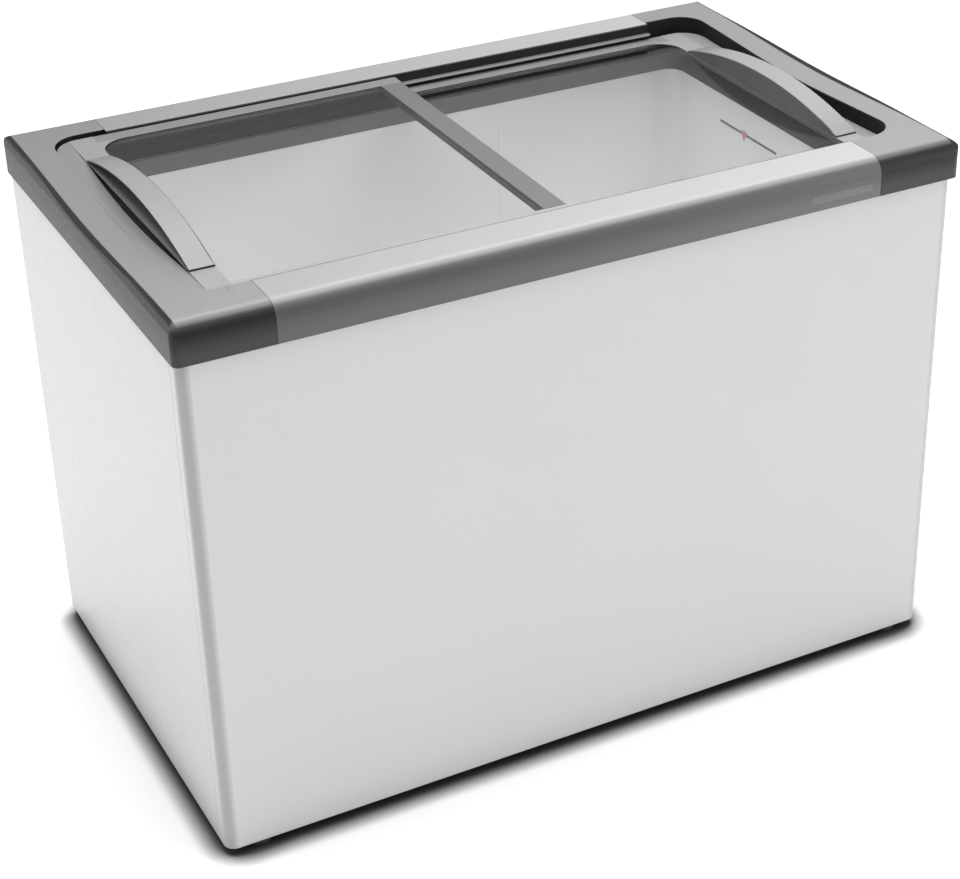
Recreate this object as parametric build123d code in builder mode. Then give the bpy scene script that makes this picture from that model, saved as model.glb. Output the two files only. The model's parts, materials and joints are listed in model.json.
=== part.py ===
from build123d import *
from math import sqrt
import os

# Chest freezer with two sliding glass lids.
# Millimetres. Origin on the floor under the middle of the top frame.
# +X runs to the right along the length, +Y to the back, +Z up.

os.makedirs("parts", exist_ok=True)

# ---------------------------------------------------------------- driving dimensions
CABINET_X = 627.0            # half length of the white cabinet
CABINET_Y = 373.0            # half depth of the white cabinet
FRAME_X = 633.0              # half length of the grey top frame
FRAME_Y = 380.0              # half depth of the grey top frame
BASE_Z = 15.0                # ground clearance
PANEL_TOP = 831.0            # top of the panels, underside of the top frame
FRAME_TOP = 890.0
SHEET = 0.8                  # steel sheet
FIT = 0.3                    # gap between neighbouring loose pieces
CUT = 1.0                    # how far a cutting block reaches past what it cuts

# cabinet shell
CORNER_R = 17.0              # bend of the front panel round the front corners
WRAP_Y = -341.0              # the front panel's wrapped edge on each side
SEAM = 1.0                   # seam between the front panel and a side panel
RETURN = 13.0                # side panels' return flange at the back
PAN_T = 1.2                  # base pan

# inner liner
LINER_X = 540.0
LINER_Y = 304.0
LINER_T = 1.0
LINER_R = 28.0
LINER_FLOOR = 80.0
LINER_TOP = 802.0
STEP_X = 300.0               # the liner's step over the compressor starts here
STEP_TOP = 358.0
FOAM_WALL = 40.0             # foam between the step and the compressor space
SPACE_X = STEP_X + LINER_T + FOAM_WALL
SPACE_TOP = STEP_TOP - LINER_T - FOAM_WALL
BREAKER_T = 4.0
THROAT_X = 575.0             # the breaker frame's ends slope out to here
THROAT_Z = 824.0             # and reach it at this level
STRIP_X = 194.0              # cover strip over the seam of the liner's back wall
STRIP_HALF = 4.0
STRIP_T = 1.2
STRIP_TOP = 758.0
STRIP_ROUND = 0.9
LOAD_LINE_Z = 755.0
LOAD_LINE_FRONT = -20.0
LOAD_LINE_BACK = 152.0
LOAD_LINE_HALF = 2.0
MARK_Y = 78.0
MARK_R = 11.0
LABEL_T = 0.6

# top frame and well opening
CAP_SEAM_X = 487.0           # joint between an end cap and the rails
CAP_SEAM = 0.6
WELL_X = 578.0
WELL_FRONT = -295.0
WELL_BACK = 312.0
CAP_WELL_BACK = 320.0        # the well runs a little further back inside the caps
WELL_R = 45.0                # the well's back corners
WELL_FRONT_R = 50.0          # and its front ones
MIN_R = 2.0                  # the smallest inside corner
NOSE_R = 26.0                # rounded front edge of the frame
BACK_NOSE_R = 14.0           # and its back edge
SIDE_R = 14.0                # rounded edge on the ends of the caps
PLAN_R = 11.0                # the caps' corners seen from above
RAIL_WALL = 3.0
RAIL_ROUND = 2.0
CAP_WALL = 4.0
CAP_SAG = 8.5                # the caps' top dips this far at mid depth, at its outer edge
WELL_SAG = 10.5              # and this far at its inner edge
CAP_SAG_Y = 340.0            # half length of the dip
CORE_SPLIT = 860.0           # a cap's hollow narrows above this level
CORE_TOP = 872.0
CORE_INSET = 20.0
LINING_T = 1.5
BADGE_X0, BADGE_X1, BADGE_Z0, BADGE_Z1 = 362.0, 474.0, 842.0, 856.0
BADGE_T = 0.8
BADGE_R = 4.0

# lids
LID_T = 11.2
UPPER_TOP = 887.0
LOWER_TOP = 865.0
LID_FRONT = -292.0
LID_BACK = 308.0
UPPER_LID_X = 577.4          # outer end of the upper lid
LOWER_LID_X = 575.5          # and of the lower one, inside the throat lining
LID_R = 42.0                 # back corners of the end mouldings
LID_FRONT_R = 47.0           # and their front corners
CORNER_WEB = 42.0            # thin web that rounds the glass's back corner
UPPER_EDGE = 4.0             # inner edge of the upper lid
LOWER_EDGE = -15.0           # inner edge of the lower lid
INNER_BAR = 37.0
FRONT_BAR = 12.0
BACK_BAR = 28.0
BAR_ROUND = 1.2
GLASS_T = 4.0
GLASS_DROP = 1.5             # glass below the top of its frame
GLASS_BITE = 7.0
GRIP_X = 511.0               # inner edge of the end moulding and of its grip
GRIP_W = 38.0
GRIP_FRONT = -225.0
GRIP_BACK = 215.0
GRIP_RISE = 34.5
GRIP_STEP = 3.0
GRIP_WALL = 3.0
GRIP_ROUND = 2.0
STRIP_SAG = 7.9              # dip of the moulding's strip outside the grip
POCKET = 6.0                 # reach of the finger pocket past the grip
POCKET_FLOOR = 1.6
GLIDE_T = 0.5
GLIDE_IN = 60.0              # middle of a glide from the end of its bar
GLIDE_EDGE = 4.0             # and from the edge of the lid
GLIDE_HALF_X = 30.0
GLIDE_HALF_Y = 2.5
BRUSH_X = -6.0
BRUSH_HALF = 1.5
BRUSH_FOOT = 4.0
BRUSH_FOOT_T = 2.0

# tracks on the rails
WEB_T = 1.5
GUIDE_H = 3.0                # the rib that carries the upper lid
GUIDE_W = 10.0
SHELF_T = 3.0                # the shelf that carries the lower lid
SHELF_W = 14.0
LID_RUN = 0.4                # running gap between a glide and what carries it
UPPER_BOTTOM = UPPER_TOP - LID_T
LOWER_BOTTOM = LOWER_TOP - LID_T
GUIDE_TOP = UPPER_BOTTOM - GLIDE_T - LID_RUN
SHELF_TOP = LOWER_BOTTOM - GLIDE_T - LID_RUN
PILE_T = 1.0
WEB_TOP = FRAME_TOP - 1.5

# feet
FOOT_X = 572.0
FOOT_Y = 345.0
FOOT_R = 22.0
FOOT_PAD = 7.0
STUD_R = 4.95
NUT_BORE = 5.0
NUT_R = 8.0
NUT_FLANGE_R = 12.0
NUT_FLANGE = 1.2
STUD_TOP = 40.0
STUD_ROOM = 2.0
FOOT_CHAMFER = 2.0
FOOT_NECK = 2.0

# drain
DRAIN_X = -450.0
DRAIN_BORE = 10.1
DRAIN_R = 13.0
DRAIN_FLANGE_R = 20.0
DRAIN_BOTTOM = 8.0
DRAIN_FLANGE = 2.0
PLUG_RUN = 0.06
PLUG_DEPTH = 14.0
PLUG_RIM = 5.0
PLUG_RIM_TOP = 5.0
PLUG_TAB_TOP = 12.0
PLUG_TAB_X = 1.5
PLUG_TAB_Y = 6.0
PLUG_TAB_R = 4.0

# evaporator
EVAP_R = 4.0
EVAP_LOOPS = 7
EVAP_LOW = 400.0
EVAP_PITCH = 55.0
EVAP_GAP = 0.3
EVAP_X = LINER_X + LINER_T + EVAP_R + EVAP_GAP
EVAP_Y = LINER_Y + LINER_T + EVAP_R + EVAP_GAP
GROOVE = 2 * EVAP_R + 2 * EVAP_GAP
RISER_Y = 262.0
RISER_R = 3.5
RISER_TAIL = 25.0            # how far the riser hangs into the compressor space

# side grille with the controls
GRILLE_FRONT = -330.0
GRILLE_BACK = -50.0
GRILLE_LOW = 45.0
GRILLE_HIGH = 285.0
GRILLE_T = 2.5
GRILLE_LAP = 9.0
VENT_LOW = 66.0
VENT_HIGH = 218.0
SLATS = 12
KNOB_Y = -120.0
KNOB_Z = 250.0
KNOB_R = 15.0
DISH_R = 21.0
DISH_DEPTH = 9.0
LAMP_Y = -190.0
LAMP_R = 4.7
LAMP_IN = 15.0
LAMP_OUT = 1.0
LAMP_ROUND = 2.0
GRILLE_R = 10.0
GRILLE_ROUND = 1.5
GRILLE_DEPTH = 8.0
GRILLE_RIM = 3.0             # solid rim left round the vent window
SLAT_RISE = 7.0
SLAT_T = 2.5
SHAFT_ROOM = 2.0
THERMO_BACK = 45.0
THERMO_HALF_Y = 24.0
THERMO_HALF_Z = 20.0
KNOB_GAP = 0.5
KNOB_STEP = 3.0
KNOB_BAR = 7.0
KNOB_BAR_H = 4.5
KNOB_BORE = 8.0

# rear access cover
COVER_LEFT = 365.0
COVER_RIGHT = 598.0
COVER_LOW = 50.0
COVER_HIGH = 290.0
COVER_LAP = 12.0
COVER_T = 1.2
COVER_R = 6.0
SLOT_LENGTH = 42.0
SLOT_W = 5.0
SLOT_PITCH_X = 52.0
SLOT_PITCH_Z = 17.0
SLOT_COLUMNS = 4
SLOT_ROWS = 11
SCREW_HEAD_R = 3.8
SCREW_HEAD = 2.0
SCREW_ROUND = 1.0
GLAND_X = 480.0
GLAND_Z = 26.5
GLAND_R = 11.0
GLAND_BORE = 4.0
GLAND_BARREL_R = 8.2
GLAND_IN = 12.0
GLAND_LENGTH = 18.0
GLAND_FLANGE = 3.0
GLAND_ROUND = 1.5

# machinery in the compressor space
FAN_Y = -190.0
FAN_Z = 128.0
FAN_X = 512.0
FAN_R = 74.0
FAN_BLADES = 5
SHAFT_R = 3.0
SHAFT_RUN = 0.05
HUB_R = 18.0
HUB_H = 20.0
BLADE_CHORD = 36.0
BLADE_T = 1.6
BLADE_TILT = 28.0
FAN_ROOM = 30.0              # depth of the space the blades sweep
SHROUD_X = FAN_X + 22.0
SHROUD_TOP = 232.0
SHROUD_GAP = 6.0
BRACKET_T = 1.5
BRACKET_LOW = 110.0
BRACKET_HIGH = 175.0
BRACKET_Y = 30.0
MOTOR_X = FAN_X - 58.5
MOTOR_R = 30.0
MOTOR_LENGTH = 38.0
SHAFT_LENGTH = 33.0
COIL_X = 582.0
COIL_T = 36.0
COIL_Y = 236.0
COIL_Z = 190.0
FIN_PITCH = 7.0
FIN_T = 0.8
TUBE_R = 4.0
COIL_ROWS = 4
ROW_PITCH = 45.0
PUMP_X = 480.0
PUMP_Y = 170.0
PUMP_R = 80.0
PUMP_LOW = 37.0
PUMP_TOP = 205.0
PUMP_DOME = 50.0             # rounding of the compressor's domed top
PUMP_BEND = 26.0
PUMP_WELD = 122.0            # weld rim round the middle of its shell
PUMP_RIM = 4.0
PLATE_T = 3.0
PLATE_HALF_X = 105.0
PLATE_HALF_Y = 65.0
GROMMET_R = 10.0
GROMMET_PITCH_X = 180.0
GROMMET_PITCH_Y = 100.0
DRIER_X = 596.0
DRIER_Z = 48.0
DRIER_R = 11.0
DRIER_LENGTH = 110.0
DRIER_ROUND = 5.0
PIPE_R = 3.5
LIQUID_R = 3.0
HOT_BEND = 14.0
LIQUID_BEND = 5.0
COLD_BEND = 8.0
PIPE_GAP = 1.0               # a pipe stops this far from the compressor's shell


def keep(piece, name):
    """Label a finished piece and write it as its own node."""
    piece.part.label = name
    export_step(piece.part, f"parts/{name}.step")


def box(x0, x1, y0, y1, z0, z1, mode=Mode.ADD):
    """An upright block between two corners, added to the piece being built."""
    with BuildSketch(Plane.XY.offset(z0)) as plan:
        with Locations(((x0 + x1) / 2, (y0 + y1) / 2)):
            Rectangle(x1 - x0, y1 - y0)
    extrude(plan.sketch, amount=z1 - z0, mode=mode)


def rod(x, y, z0, z1, r, mode=Mode.ADD):
    """An upright round bar."""
    with BuildSketch(Plane.XY.offset(z0)) as plan:
        with Locations((x, y)):
            Circle(r)
    extrude(plan.sketch, amount=z1 - z0, mode=mode)


def side_plane(x):
    """A plane across the length: its local x is +Y, its local y is +Z, its normal +X."""
    return Plane(origin=(x, 0, 0), x_dir=(0, 1, 0), z_dir=(1, 0, 0))


def back_plane(y):
    """A plane that faces the back: its local x is -X, its local y is +Z, its normal +Y."""
    return Plane(origin=(0, y, 0), x_dir=(-1, 0, 0), z_dir=(0, 1, 0))


def ring_band(outer_x, outer_y, outer_r, thickness, z0, z1, mode=Mode.ADD):
    """A closed rounded band round the liner."""
    with BuildSketch(Plane.XY.offset(z0)) as plan:
        RectangleRounded(2 * outer_x, 2 * outer_y, outer_r)
        RectangleRounded(2 * (outer_x - thickness), 2 * (outer_y - thickness),
                         outer_r - thickness, mode=Mode.SUBTRACT)
    extrude(plan.sketch, amount=z1 - z0, mode=mode)


# ---------------------------------------------------------------- cabinet shell
def front_outline(inset):
    """The front panel's plan, shrunk by inset: straight front, bent round both corners."""
    x, y, r = CABINET_X - inset, -CABINET_Y + inset, CORNER_R - inset
    with BuildLine() as outline:
        Polyline((-x + r, y), (x - r, y))
        RadiusArc((x - r, y), (x, y + r), -r)
        Polyline((x, y + r), (x, WRAP_Y), (-x, WRAP_Y), (-x, y + r))
        RadiusArc((-x, y + r), (-x + r, y), -r)
    make_face(outline.edges())


with BuildPart() as front_panel:
    with BuildSketch(Plane.XY.offset(BASE_Z)):
        front_outline(0)
    extrude(amount=PANEL_TOP - BASE_Z)
    with BuildSketch(Plane.XY.offset(BASE_Z)):
        front_outline(SHEET)
    extrude(amount=PANEL_TOP - BASE_Z, mode=Mode.SUBTRACT)
keep(front_panel, "front_panel")


def side_panel(side):
    """A flat side with a return flange at the back. side is -1 for left, 1 for right."""
    outer, inner = side * CABINET_X, side * (CABINET_X - SHEET)
    lip = side * (CABINET_X - RETURN)
    with BuildPart() as panel:
        box(min(outer, inner), max(outer, inner), WRAP_Y + SEAM, CABINET_Y, BASE_Z, PANEL_TOP)
        box(min(outer, lip), max(outer, lip), CABINET_Y - SHEET, CABINET_Y, BASE_Z, PANEL_TOP)
        if side > 0:
            box(CABINET_X - RETURN, CABINET_X + CUT, GRILLE_FRONT, GRILLE_BACK,
                GRILLE_LOW, GRILLE_HIGH, Mode.SUBTRACT)
    return panel


side_panel_left = side_panel(-1)
keep(side_panel_left, "side_panel_left")
side_panel_right = side_panel(1)
keep(side_panel_right, "side_panel_right")

BACK_X = CABINET_X - RETURN - SEAM
with BuildPart() as back_panel:
    box(-BACK_X, BACK_X, CABINET_Y - SHEET, CABINET_Y, BASE_Z, PANEL_TOP)
    box(COVER_LEFT, COVER_RIGHT, CABINET_Y - SHEET, CABINET_Y, COVER_LOW, COVER_HIGH,
        Mode.SUBTRACT)
    with BuildSketch(back_plane(CABINET_Y - SHEET)):
        with Locations((-GLAND_X, GLAND_Z)):
            Circle(GLAND_BARREL_R + FIT)
    extrude(amount=SHEET, mode=Mode.SUBTRACT)
keep(back_panel, "back_panel")


def shell_plan(x, y, r):
    """The plan inside the panels, its two front corners rounded like the front panel."""
    with BuildLine() as outline:
        Polyline((-x, y), (x, y), (x, -y + r))
        RadiusArc((x, -y + r), (x - r, -y), r)
        Polyline((x - r, -y), (-x + r, -y))
        RadiusArc((-x + r, -y), (-x, -y + r), r)
        Polyline((-x, -y + r), (-x, y))
    make_face(outline.edges())


def foot_places():
    """The four feet's centres."""
    return [(sx * FOOT_X, sy * FOOT_Y) for sy in (-1, 1) for sx in (-1, 1)]


with BuildPart() as base_pan:
    with BuildSketch(Plane.XY.offset(BASE_Z)):
        shell_plan(CABINET_X - SHEET, CABINET_Y - SHEET, CORNER_R - SHEET)
    extrude(amount=PAN_T)
    for foot_x, foot_y in foot_places():
        rod(foot_x, foot_y, BASE_Z, BASE_Z + PAN_T, NUT_R + FIT, Mode.SUBTRACT)
    rod(DRAIN_X, 0, BASE_Z, BASE_Z + PAN_T, DRAIN_R + FIT, Mode.SUBTRACT)
keep(base_pan, "base_pan")

# ---------------------------------------------------------------- liner and insulation
def liner_block(grow, top):
    """The liner's inner space grown by grow on all sides but the top, with its step."""
    x, y, r = LINER_X + grow, LINER_Y + grow, LINER_R + grow
    with BuildSketch(Plane.XY.offset(LINER_FLOOR - grow)) as plan:
        RectangleRounded(2 * x, 2 * y, r)
    extrude(plan.sketch, amount=top - LINER_FLOOR + grow)
    box(STEP_X + grow, x + CUT, -y - CUT, y + CUT, LINER_FLOOR - grow, STEP_TOP - grow,
        Mode.SUBTRACT)


with BuildPart() as liner_void:
    liner_block(0, LINER_TOP)
with BuildPart() as liner_hull:
    liner_block(LINER_T, LINER_TOP)
with BuildPart() as inner_liner:
    add(liner_hull.part)
    add(liner_void.part, mode=Mode.SUBTRACT)
    rod(DRAIN_X, 0, LINER_FLOOR - LINER_T, LINER_FLOOR, DRAIN_R + FIT, Mode.SUBTRACT)
keep(inner_liner, "inner_liner")

with BuildPart() as liner_seam_strip:
    box(STRIP_X - STRIP_HALF, STRIP_X + STRIP_HALF, LINER_Y - STRIP_T, LINER_Y,
        LINER_FLOOR, STRIP_TOP)
    fillet(liner_seam_strip.edges().filter_by(Axis.Z).group_by(Axis.Y)[0], radius=STRIP_ROUND)
keep(liner_seam_strip, "liner_seam_strip")

LOOP_Z = [EVAP_LOW + n * EVAP_PITCH for n in range(EVAP_LOOPS)]
EVAP_BEND = LINER_R + LINER_T + EVAP_R
RISER_LOW = SPACE_TOP - RISER_TAIL


def breaker_block(grow):
    """The opening inside the breaker frame grown by grow: its ends slope out to the throat."""
    depth, corner = 2 * (LINER_Y + grow), LINER_R + grow
    with BuildPart() as block:
        with BuildSketch(Plane.XY.offset(LINER_TOP)):
            RectangleRounded(2 * (LINER_X + grow), depth, corner)
        with BuildSketch(Plane.XY.offset(THROAT_Z)) as wide:
            RectangleRounded(2 * (THROAT_X + grow), depth, corner)
        loft(ruled=True)
        extrude(wide.sketch, amount=PANEL_TOP - THROAT_Z)
    return block


breaker_inside = breaker_block(0)
breaker_outside = breaker_block(BREAKER_T)
with BuildPart() as breaker_frame:
    add(breaker_outside.part)
    add(breaker_inside.part, mode=Mode.SUBTRACT)
keep(breaker_frame, "breaker_frame")

with BuildPart() as insulation_foam:
    with BuildSketch(Plane.XY.offset(BASE_Z + PAN_T)):
        shell_plan(CABINET_X - SHEET, CABINET_Y - SHEET, CORNER_R - SHEET)
    extrude(amount=PANEL_TOP - BASE_Z - PAN_T)
    add(liner_hull.part, mode=Mode.SUBTRACT)
    add(breaker_outside.part, mode=Mode.SUBTRACT)
    box(SPACE_X, CABINET_X, -CABINET_Y, CABINET_Y, BASE_Z, SPACE_TOP, Mode.SUBTRACT)
    for loop_z in LOOP_Z:
        ring_band(LINER_X + LINER_T + GROOVE, LINER_Y + LINER_T + GROOVE,
                  LINER_R + LINER_T + GROOVE, GROOVE + LINER_T,
                  loop_z - GROOVE / 2, loop_z + GROOVE / 2, Mode.SUBTRACT)
    box(LINER_X, LINER_X + LINER_T + GROOVE, RISER_Y - GROOVE / 2, RISER_Y + GROOVE / 2,
        SPACE_TOP, LOOP_Z[-1], Mode.SUBTRACT)
    for foot_x, foot_y in foot_places():
        rod(foot_x, foot_y, BASE_Z, STUD_TOP + STUD_ROOM, NUT_R + FIT, Mode.SUBTRACT)
    rod(DRAIN_X, 0, BASE_Z, LINER_FLOOR, DRAIN_R + FIT, Mode.SUBTRACT)
keep(insulation_foam, "insulation_foam")


def evaporator_half(side, z):
    """Half of one level turn of tube round the liner."""
    with BuildLine(Plane.XY.offset(z)) as turn:
        FilletPolyline((0, -EVAP_Y), (side * EVAP_X, -EVAP_Y), (side * EVAP_X, EVAP_Y),
                       (0, EVAP_Y), radius=EVAP_BEND)
    with BuildSketch(Plane(origin=(0, -EVAP_Y, z), x_dir=(0, 1, 0), z_dir=(side, 0, 0))) as bore:
        Circle(EVAP_R)
    sweep(bore.sketch, path=turn.wires()[0])


with BuildPart() as evaporator_coil:
    for loop_z in LOOP_Z:
        evaporator_half(1, loop_z)
        evaporator_half(-1, loop_z)
    rod(EVAP_X, RISER_Y, RISER_LOW, LOOP_Z[-1], RISER_R)
keep(evaporator_coil, "evaporator_coil")


with BuildPart() as load_line_label:
    box(LINER_X - LABEL_T, LINER_X, LOAD_LINE_FRONT, LOAD_LINE_BACK,
        LOAD_LINE_Z - LOAD_LINE_HALF, LOAD_LINE_Z + LOAD_LINE_HALF)
keep(load_line_label, "load_line_label")
with BuildPart() as load_line_mark:
    with BuildSketch(side_plane(LINER_X - 2 * LABEL_T)):
        with Locations((MARK_Y, LOAD_LINE_Z)):
            RegularPolygon(radius=MARK_R, side_count=3, rotation=-90)
    extrude(amount=LABEL_T)
keep(load_line_mark, "load_line_mark")


# ---------------------------------------------------------------- top frame
def rail_section(edge, well, r):
    """A rail's closed outline in the YZ plane, rounded at its outer top edge."""
    out = 1 if edge > well else -1
    with BuildLine() as outline:
        Polyline((well, FRAME_TOP), (edge - out * r, FRAME_TOP))
        RadiusArc((edge - out * r, FRAME_TOP), (edge, FRAME_TOP - r), out * r)
        Polyline((edge, FRAME_TOP - r), (edge, PANEL_TOP), (well, PANEL_TOP),
                 (well, FRAME_TOP))
    make_face(outline.edges())


def top_rail(edge, well, nose):
    """A hollow extruded rail between the two end caps."""
    half = CAP_SEAM_X - CAP_SEAM
    out = 1 if edge > well else -1
    with BuildPart() as rail:
        with BuildSketch(side_plane(-half)):
            rail_section(edge, well, nose)
        extrude(amount=2 * half)
        top_edge = rail.edges().filter_by(Axis.X).group_by(Axis.Z)[-1].sort_by(Axis.Y)
        fillet(top_edge[-1] if out < 0 else top_edge[0], radius=RAIL_ROUND)
        with BuildSketch(side_plane(-half)):
            rail_section(edge - out * RAIL_WALL, well + out * RAIL_WALL, nose - RAIL_WALL)
            with Locations(((edge + well) / 2, FRAME_TOP)):
                Rectangle(abs(edge - well), 2 * RAIL_WALL, mode=Mode.SUBTRACT)
            with Locations(((edge + well) / 2, PANEL_TOP)):
                Rectangle(abs(edge - well), 2 * RAIL_WALL, mode=Mode.SUBTRACT)
        extrude(amount=2 * half, mode=Mode.SUBTRACT)
    return rail


def badge_block(x0, x1, z0, z1, depth, r, mode=Mode.ADD):
    """A rounded plate let into the front rail's face."""
    front = Plane(origin=(0, -FRAME_Y + depth, 0), x_dir=(1, 0, 0), z_dir=(0, -1, 0))
    with BuildSketch(front) as face:
        with Locations(((x0 + x1) / 2, (z0 + z1) / 2)):
            RectangleRounded(x1 - x0, z1 - z0, r)
    extrude(face.sketch, amount=depth, mode=mode)


front_rail_body = top_rail(-FRAME_Y, WELL_FRONT, NOSE_R)
with BuildPart() as front_rail:
    add(front_rail_body.part)
    badge_block(BADGE_X0, BADGE_X1, BADGE_Z0, BADGE_Z1, BADGE_T, BADGE_R, Mode.SUBTRACT)
keep(front_rail, "front_rail")
back_rail = top_rail(FRAME_Y, WELL_BACK, BACK_NOSE_R)
keep(back_rail, "back_rail")
with BuildPart() as badge_plate:
    badge_block(BADGE_X0 + FIT, BADGE_X1 - FIT, BADGE_Z0 + FIT, BADGE_Z1 - FIT, BADGE_T,
                BADGE_R - FIT)
keep(badge_plate, "badge_plate")


def well_sketch(inset, mode=Mode.ADD):
    """The plan of the well between the caps, shrunk by inset."""
    front, back = WELL_FRONT + inset, CAP_WELL_BACK - inset
    for low, high, corner in ((front, WELL_R, WELL_FRONT_R), (-WELL_R, back, WELL_R)):
        with Locations((0, (low + high) / 2)):
            RectangleRounded(2 * (WELL_X - inset), high - low, max(corner - inset, MIN_R),
                             mode=mode)


def cap_half(side, x0):
    """The block of space that belongs to one end, from x0 outwards."""
    return (x0, FRAME_X + CUT) if side > 0 else (-FRAME_X - CUT, -x0)


def end_cap(side):
    """A moulded cap over one end of the cabinet, round three sides of the well."""
    seam = side * CAP_SEAM_X
    lo, hi = cap_half(side, CAP_SEAM_X)
    with BuildPart() as cap:
        # front and back edges rounded like the rails
        with BuildSketch(side_plane(lo)):
            with BuildLine():
                Polyline((-FRAME_Y, PANEL_TOP), (-FRAME_Y, FRAME_TOP - NOSE_R))
                RadiusArc((-FRAME_Y, FRAME_TOP - NOSE_R), (-FRAME_Y + NOSE_R, FRAME_TOP), NOSE_R)
                Polyline((-FRAME_Y + NOSE_R, FRAME_TOP), (FRAME_Y - BACK_NOSE_R, FRAME_TOP))
                RadiusArc((FRAME_Y - BACK_NOSE_R, FRAME_TOP),
                          (FRAME_Y, FRAME_TOP - BACK_NOSE_R), BACK_NOSE_R)
                Polyline((FRAME_Y, FRAME_TOP - BACK_NOSE_R), (FRAME_Y, PANEL_TOP),
                         (-FRAME_Y, PANEL_TOP))
            make_face()
        extrude(amount=hi - lo)
        # the outer end's softer rounding
        with BuildSketch(back_plane(-FRAME_Y - CUT)):
            x = -side * FRAME_X
            end = -side * (FRAME_X - SIDE_R)
            arc = SIDE_R if x < 0 else -SIDE_R
            with BuildLine():
                Polyline((-seam, PANEL_TOP), (x, PANEL_TOP), (x, FRAME_TOP - SIDE_R))
                RadiusArc((x, FRAME_TOP - SIDE_R), (end, FRAME_TOP), arc)
                Polyline((end, FRAME_TOP), (-seam, FRAME_TOP), (-seam, PANEL_TOP))
            make_face()
        extrude(amount=2 * FRAME_Y + 2 * CUT, mode=Mode.INTERSECT)
        # rounded corners in plan
        with BuildSketch(Plane.XY.offset(PANEL_TOP)):
            RectangleRounded(2 * FRAME_X, 2 * FRAME_Y, PLAN_R)
        extrude(amount=FRAME_TOP - PANEL_TOP, mode=Mode.INTERSECT)
        with BuildSketch(Plane.XY.offset(PANEL_TOP)):
            well_sketch(0)
        extrude(amount=FRAME_TOP - PANEL_TOP, mode=Mode.SUBTRACT)
    return cap


def sag_outline(level, dip):
    """A block above level whose underside hangs down by dip in a smooth wave."""
    with BuildLine() as outline:
        Polyline((-CAP_SAG_Y, level), (-CAP_SAG_Y, level + FRAME_TOP - PANEL_TOP),
                 (CAP_SAG_Y, level + FRAME_TOP - PANEL_TOP), (CAP_SAG_Y, level))
        Spline((CAP_SAG_Y, level), (0, level - dip), (-CAP_SAG_Y, level),
               tangents=((-1, 0), (-1, 0)))
    make_face(outline.edges())


def sag_cutter(side, level):
    """The dip along a cap's top, a little deeper towards the well."""
    reach = FRAME_X - WELL_X
    deeper = WELL_SAG - CAP_SAG
    with BuildPart() as bar:
        with BuildSketch(side_plane(side * (FRAME_X + reach))):
            sag_outline(level, CAP_SAG - deeper)
        with BuildSketch(side_plane(side * (WELL_X - reach))):
            sag_outline(level, WELL_SAG + deeper)
        loft(ruled=True)
    return bar


def cap_core(side, inset, low, high):
    """The hollow inside a cap between two levels, inset from its outer faces."""
    lo, hi = cap_half(side, CAP_SEAM_X + CAP_WALL)
    with BuildPart() as core:
        with BuildSketch(Plane.XY.offset(low)):
            RectangleRounded(2 * (FRAME_X - inset), 2 * (FRAME_Y - inset),
                             max(PLAN_R - inset, MIN_R))
            well_sketch(-CAP_WALL, Mode.SUBTRACT)
        extrude(amount=high - low)
        box(lo, hi, -FRAME_Y, FRAME_Y, low, high, Mode.INTERSECT)
    return core


def cap_shelf(side):
    """The shelf inside a cap, level with the tracks' shelves."""
    lo, hi = cap_half(side, CAP_SEAM_X)
    with BuildPart() as shelf:
        with BuildSketch(Plane.XY.offset(SHELF_TOP - SHELF_T)):
            well_sketch(0)
            well_sketch(SHELF_W, Mode.SUBTRACT)
        extrude(amount=SHELF_T)
        box(lo, hi, -FRAME_Y, FRAME_Y, PANEL_TOP, FRAME_TOP, Mode.INTERSECT)
    return shelf


def hollow_cap(side):
    """The cap with its dip, its hollow underside and the shelf round its well."""
    solid_cap = end_cap(side)
    cutter = sag_cutter(side, FRAME_TOP)
    lower_core = cap_core(side, CAP_WALL, PANEL_TOP, CORE_SPLIT)
    upper_core = cap_core(side, CORE_INSET, CORE_SPLIT, CORE_TOP)
    shelf = cap_shelf(side)
    with BuildPart() as cap:
        add(solid_cap.part)
        add(cutter.part, mode=Mode.SUBTRACT)
        add(lower_core.part, mode=Mode.SUBTRACT)
        add(upper_core.part, mode=Mode.SUBTRACT)
        add(shelf.part)
    return cap


end_cap_left = hollow_cap(-1)
keep(end_cap_left, "end_cap_left")
end_cap_right = hollow_cap(1)
keep(end_cap_right, "end_cap_right")


def throat_lining(side, low, high):
    """The dark lining of one end of the well, above its shelf."""
    lo, hi = cap_half(side, CAP_SEAM_X + CAP_SEAM)
    cutter = sag_cutter(side, WEB_TOP)
    with BuildPart() as lining:
        with BuildSketch(Plane.XY.offset(low)):
            well_sketch(0)
            well_sketch(LINING_T, Mode.SUBTRACT)
        extrude(amount=high - low)
        box(lo, hi, -FRAME_Y, FRAME_Y, low, high, Mode.INTERSECT)
        add(cutter.part, mode=Mode.SUBTRACT)
    return lining


keep(throat_lining(-1, SHELF_TOP, UPPER_BOTTOM - CUT), "throat_lining_left")
keep(throat_lining(1, SHELF_TOP, WEB_TOP), "throat_lining_right")


# ---------------------------------------------------------------- tracks on the rails
def track(well, towards):
    """The dark track: a web on the rail's inner wall and the shelf for the lower lid."""
    half = CAP_SEAM_X - CAP_SEAM
    web, edge = well + towards * WEB_T, well + towards * SHELF_W
    with BuildPart() as piece:
        box(-half, half, min(well, web), max(well, web), PANEL_TOP, WEB_TOP)
        box(-half, half, min(well, edge), max(well, edge), SHELF_TOP - SHELF_T, SHELF_TOP)
    return piece


def web_strip(well, towards, reach, low, high):
    """A strip along a track's web that stands out to reach from the rail's wall."""
    half = CAP_SEAM_X - CAP_SEAM
    near, far = well + towards * WEB_T, well + towards * reach
    box(-half, half, min(near, far), max(near, far), low, high)


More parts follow.
